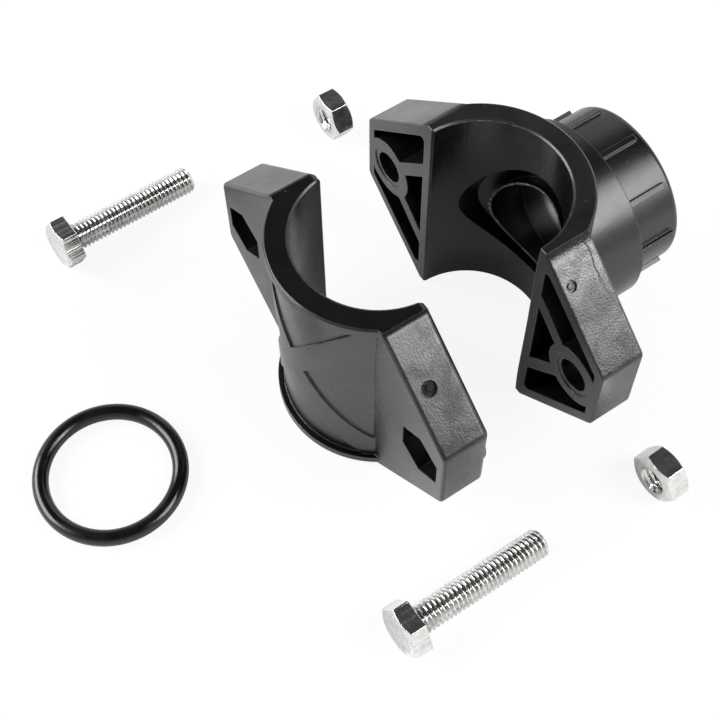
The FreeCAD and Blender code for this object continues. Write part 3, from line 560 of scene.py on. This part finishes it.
def thread_mesh(tree, thread, length, end_radius, side, columns, finish):
    """A thread as a plain mesh; length and end radius are millimetres."""
    carrier = bpy.data.objects.new("thread", bpy.data.meshes.new("thread"))
    scene.collection.objects.link(carrier)
    modifier = carrier.modifiers.new("thread", "NODES")
    modifier.node_group = tree
    values = {"Pitch": thread["pitch"] * MM, "Length": length * MM, "Valley radius": thread["valley"] * MM,
              "Crest radius": thread["crest"] * MM, "End radius": end_radius * MM, "Side": float(side),
              "Turns": math.ceil(length / thread["pitch"]) + 1, "Columns": columns, "Finish": finish}
    for item in tree.interface.items_tree:
        if item.in_out == "INPUT" and item.name in values:
            modifier[item.identifier] = values[item.name]
    bpy.context.view_layer.update()
    evaluated = carrier.evaluated_get(bpy.context.evaluated_depsgraph_get())
    mesh = bpy.data.meshes.new_from_object(evaluated)
    bpy.data.objects.remove(carrier)
    return mesh


# Solids that are lofted through loops round an axis

def circle(radius):
    """As many points round the axis, at one radius, as a hexagon has."""
    turns = [2.0 * math.pi * number / HEX_COLUMNS for number in range(HEX_COLUMNS)]
    return [(radius * math.cos(turn), radius * math.sin(turn)) for turn in turns]


def hexagon():
    """Points round the hexagon, with a point on each of its six corners."""
    points = []
    for number in range(HEX_COLUMNS):
        turn = 2.0 * math.pi * number / HEX_COLUMNS
        off_corner = (turn + math.pi / 6.0) % (math.pi / 3.0) - math.pi / 6.0
        radius = HEX_INNER_RADIUS / math.cos(math.pi / 6.0 - abs(off_corner))
        points.append((radius * math.cos(turn), radius * math.sin(turn)))
    return points


def chamfered(points, base, towards):
    """Heights of the hexagon's edge where the 30 degree cone from a face at base meets it."""
    slope = towards * math.tan(HEX_CHAMFER)
    return [base + slope * (math.hypot(x, y) - HEX_FACE_RADIUS) for x, y in points]


def loft(shape, loops, closed=False):
    """Add a skin through loops of (points, heights) to a bmesh; an open one gets flat ends."""
    rings = []
    for points, heights in loops:
        if not isinstance(heights, list):
            heights = [heights] * len(points)
        rings.append([shape.verts.new(mm(x, y, z)) for (x, y), z in zip(points, heights)])
    pairs = list(zip(rings, rings[1:]))
    if closed:
        pairs.append((rings[-1], rings[0]))
    for lower, upper in pairs:
        for number in range(len(lower)):
            after = (number + 1) % len(lower)
            shape.faces.new((lower[number], lower[after], upper[after], upper[number]))
    if not closed:
        shape.faces.new(list(reversed(rings[0])))
        shape.faces.new(rings[-1])


def cap_ends(shape):
    """Close the open ends of a mesh with flat faces."""
    bmesh.ops.holes_fill(shape, edges=[edge for edge in shape.edges if edge.is_boundary])


def back_thread(shape, radius):
    """Close a thread in a hole with a plain skin behind it, so that it is a solid ring."""
    rims = [edge for edge in shape.edges if edge.is_boundary]
    grown = bmesh.ops.extrude_edge_only(shape, edges=rims)["geom"]
    for vertex in grown:
        if isinstance(vertex, bmesh.types.BMVert):
            away = Vector((vertex.co.x, vertex.co.y, 0.0)).normalized() * radius * MM
            vertex.co = Vector((away.x, away.y, vertex.co.z))
    loose = [edge for edge in shape.edges if edge.is_boundary]
    bmesh.ops.bridge_loops(shape, edges=loose)


def thread_shape(tree, thread, length, end_radius, side, columns, finish, start=0.0):
    """A thread as a bmesh that starts so many millimetres up the axis, and is otherwise as given."""
    shape = bmesh.new()
    shape.from_mesh(thread_mesh(tree, thread, length, end_radius, side, columns, finish))
    bmesh.ops.translate(shape, vec=(0.0, 0.0, start * MM), verts=shape.verts)
    return shape


def finished_piece(name, shape, matrix, material, body):
    """Make an object of a bmesh, put it in place in its mesh and let it ride on a body."""
    bmesh.ops.transform(shape, matrix=matrix, verts=shape.verts)
    bmesh.ops.recalc_face_normals(shape, faces=shape.faces)
    mesh = bpy.data.meshes.new(name)
    shape.to_mesh(mesh)
    shape.free()
    mesh.materials.clear()
    mesh.materials.append(material)
    mesh.shade_smooth()
    mesh.set_sharp_from_angle(angle=SHARP_ANGLE)
    piece = bpy.data.objects.new(name, mesh)
    scene.collection.objects.link(piece)
    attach(piece, body)
    return piece


def lying(across, along, height, turn, tilt=0.0):
    """Matrix of hardware whose axis points along +Y, turned towards +X by degrees, and below level by a
    tilt in radians."""
    turn = math.radians(turn)
    axis = Vector((math.sin(turn) * math.cos(tilt), math.cos(turn) * math.cos(tilt), -math.sin(tilt)))
    level = Vector((math.cos(turn), -math.sin(turn), 0.0))
    matrix = Matrix((level, axis.cross(level), axis)).transposed().to_4x4()
    return Matrix.Translation(mm(across, along, height)) @ matrix


def make_bolt(node, tree):
    """A fully threaded hexagon bolt, lying on the edge of its head and on its tip, with a chamfered head
    whose face is slightly dished."""
    across, along, turn = BOLTS[node]
    tilt = math.atan((HEX_INNER_RADIUS - BOLT_RADIUS) / (BOLT_LENGTH - BOLT_TIP_CHAMFER))
    height = HEX_INNER_RADIUS * math.cos(tilt) + HEAD_HEIGHT * math.sin(tilt)
    matrix = lying(across, along, height, turn, tilt)
    material = plated_steel("zinc_plate_" + node, matrix, BOLT_DIE_LINES)
    shape = thread_shape(tree, BOLT_THREAD, BOLT_LENGTH + STEM_IN_HEAD, BOLT_RADIUS - BOLT_TIP_CHAMFER, 1,
                         HARDWARE_COLUMNS, material, HEAD_HEIGHT - STEM_IN_HEAD)
    cap_ends(shape)
    rim = hexagon()
    drawn_in = 1.0 - HEAD_ROOT_EDGE / HEX_INNER_RADIUS
    loops = [(circle(HEX_FACE_RADIUS * share), depth) for share, depth in HEAD_FACE]
    loops.append((rim, chamfered(rim, 0.0, 1.0)))
    loops.append((rim, HEAD_HEIGHT - HEAD_ROOT_EDGE))
    loops.append(([(x * drawn_in, y * drawn_in) for x, y in rim], HEAD_HEIGHT))
    loft(shape, loops)
    piece = finished_piece(node + "_steel", shape, matrix, material, "clamp")
    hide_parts(node)


def make_nut(node, tree):
    """A hexagon nut lying on a flat, chamfered on both faces, with a threaded hole."""
    across, along, turn = NUTS[node]
    matrix = lying(across, along, HEX_INNER_RADIUS, turn)
    material = plated_steel("zinc_plate_" + node, matrix, NUT_DIE_LINES)
    valley = NUT_THREAD["valley"]
    shape = thread_shape(tree, NUT_THREAD, NUT_HEIGHT - 2.0 * NUT_THREAD_INSET, valley, -1,
                         HARDWARE_COLUMNS, material, NUT_THREAD_INSET)
    back_thread(shape, valley + 2.0 * THREAD_BACKING)
    rim = hexagon()
    bore = valley + THREAD_BACKING
    mouth_depth = NUT_MOUTH - bore
    loft(shape, [
        (circle(NUT_MOUTH), 0.0),
        (circle(HEX_FACE_RADIUS), 0.0),
        (rim, chamfered(rim, 0.0, 1.0)),
        (rim, chamfered(rim, NUT_HEIGHT, -1.0)),
        (circle(HEX_FACE_RADIUS), NUT_HEIGHT),
        (circle(NUT_MOUTH), NUT_HEIGHT),
        (circle(bore), NUT_HEIGHT - mouth_depth),
        (circle(bore), mouth_depth),
    ], closed=True)
    piece = finished_piece(node + "_steel", shape, matrix, material, "clamp")
    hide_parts(node)


def make_outlet_thread(tree, material):
    """The female thread moulded in the outlet, as a ring of ridges on the wall of its bore."""
    length = OUTLET_TURNS * OUTLET_THREAD["pitch"]
    valley = OUTLET_THREAD["valley"]
    shape = thread_shape(tree, OUTLET_THREAD, length, valley, -1, OUTLET_COLUMNS, material)
    back_thread(shape, valley + THREAD_BACKING)
    start = OUTLET_REACH - OUTLET_LEAD_IN - length
    matrix = lying(SADDLE_SHIFT[0], SADDLE_SHIFT[1] + start, SADDLE_LENGTH / 2.0, 0.0)
    finished_piece("outlet_thread", shape, matrix, material, "saddle")


def dress(node, material):
    """Give a node of the construction its finish."""
    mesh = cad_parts[node].data
    mesh.materials.clear()
    mesh.materials.append(material)


# Bench, light and camera

def make_bench():
    """A white bench top, whose white is lifted where it is looked at, so that shadows stay faint beside
    the object and the bench runs into the white behind it."""
    bench = bpy.data.meshes.new("bench")
    corners = ((-1, -1), (1, -1), (1, 1), (-1, 1))
    points = [mm(x * BENCH_REACH, y * BENCH_REACH, 0.0) for x, y in corners]
    bench.from_pydata(points, [], [(0, 1, 2, 3)])
    plane = bpy.data.objects.new("bench", bench)
    plane.location.z = -BENCH_DROP * MM
    scene.collection.objects.link(plane)
    material, add, shader, place = new_material("bench_white", "#f2f2f2", 0.7)
    feed(shader, {"Specular IOR Level": 0.1})
    glow = add("ShaderNodeEmission", linear("#ffffff"), 1.0)
    outward = add("ShaderNodeVectorMath", place, output="Value", operation="LENGTH")
    rise = add(RANGE, outward, *mm(*BENCH_RISE), BENCH_LIFT, 1.0, **SMOOTH)
    path = add("ShaderNodeLightPath", output=None)
    seen = add(MATH, path["Is Camera Ray"], rise, operation="MULTIPLY")
    mirrored = add(MATH, path["Is Glossy Ray"], path["Is Transmission Ray"], operation="MAXIMUM")
    mirrored = add(MATH, mirrored, MIRRORED_LIFT, operation="MULTIPLY")
    lifted = add(MATH, seen, mirrored, operation="MAXIMUM")
    mixed = add("ShaderNodeMixShader", lifted, shader.outputs[0], glow)
    feed(material.node_tree.nodes["Material Output"], {"Surface": mixed})
    bench.materials.append(material)


def make_world():
    """A studio that is pale at the horizon and dark overhead, as in a light tent with an open top."""
    world = bpy.data.worlds.new("studio")
    scene.world = world
    world.use_nodes = True
    add = partial(add_node, world.node_tree)
    direction = add("ShaderNodeTexCoord", output="Generated")
    overhead = add(RANGE, add(SPLIT, direction, output=2), 0.1, 0.8, **SMOOTH)
    shade = add(MIX, overhead, named={6: linear("#f8f8f8"), 7: linear("#505050")}, **COLOURS)
    seen = add("ShaderNodeLightPath", output="Is Camera Ray")
    shade = add(MIX, seen, named={6: shade, 7: linear("#ffffff")}, **COLOURS)
    feed(world.node_tree.nodes["Background"], {"Color": shade, "Strength": 1.0})


def make_softbox(name, direction, distance, width, height, radiance):
    """A square diffuser of a given brightness that faces the object."""
    lamp = bpy.data.lights.new(name, "AREA")
    lamp.shape = "RECTANGLE"
    lamp.size = width
    lamp.size_y = height
    lamp.energy = radiance * math.pi * width * height
    holder = bpy.data.objects.new(name, lamp)
    scene.collection.objects.link(holder)
    away = Vector(direction).normalized()
    holder.location = Vector(mm(*LIT_SPOT)) + away * distance
    holder.rotation_mode = "QUATERNION"
    holder.rotation_quaternion = away.to_track_quat("Z", "Y")


def make_camera():
    """The photograph's view."""
    turn, rise, roll = (math.radians(value) for value in (CAMERA_TURN, CAMERA_RISE, CAMERA_ROLL))
    target = Vector(CAMERA_TARGET) * MM
    ahead = Vector((math.sin(turn) * math.cos(rise), math.cos(turn) * math.cos(rise), -math.sin(rise)))
    right = Vector((math.cos(turn), -math.sin(turn), 0.0))
    up = right.cross(ahead)
    rolled_right = right * math.cos(roll) + up * math.sin(roll)
    rolled_up = up * math.cos(roll) - right * math.sin(roll)
    camera = bpy.data.cameras.new("camera")
    camera.sensor_width = CAMERA_SENSOR
    camera.lens = CAMERA_LENS
    camera.clip_start, camera.clip_end = mm(*CAMERA_CLIP)
    holder = bpy.data.objects.new("camera", camera)
    scene.collection.objects.link(holder)
    axes = Matrix((rolled_right, rolled_up, -ahead)).transposed().to_4x4()
    holder.matrix_world = Matrix.Translation(target - ahead * CAMERA_DISTANCE * MM) @ axes
    scene.camera = holder


saddle_plastic = moulded_plastic("black_polypropylene_saddle", SADDLE_SKIN)
clamp_plastic = moulded_plastic("black_polypropylene_clamp", CLAMP_SKIN)
dress("saddle_body", saddle_plastic)
dress("clamp_half", clamp_plastic)
dress("o_ring", seal_rubber())
screw_thread = thread_tree()
for bolt in BOLTS:
    make_bolt(bolt, screw_thread)
for nut in NUTS:
    make_nut(nut, screw_thread)
make_outlet_thread(screw_thread, saddle_plastic)

make_bench()
make_world()
for softbox, values in SOFTBOXES.items():
    make_softbox(softbox, *values)
make_camera()
scene.view_settings.view_transform = "Standard"
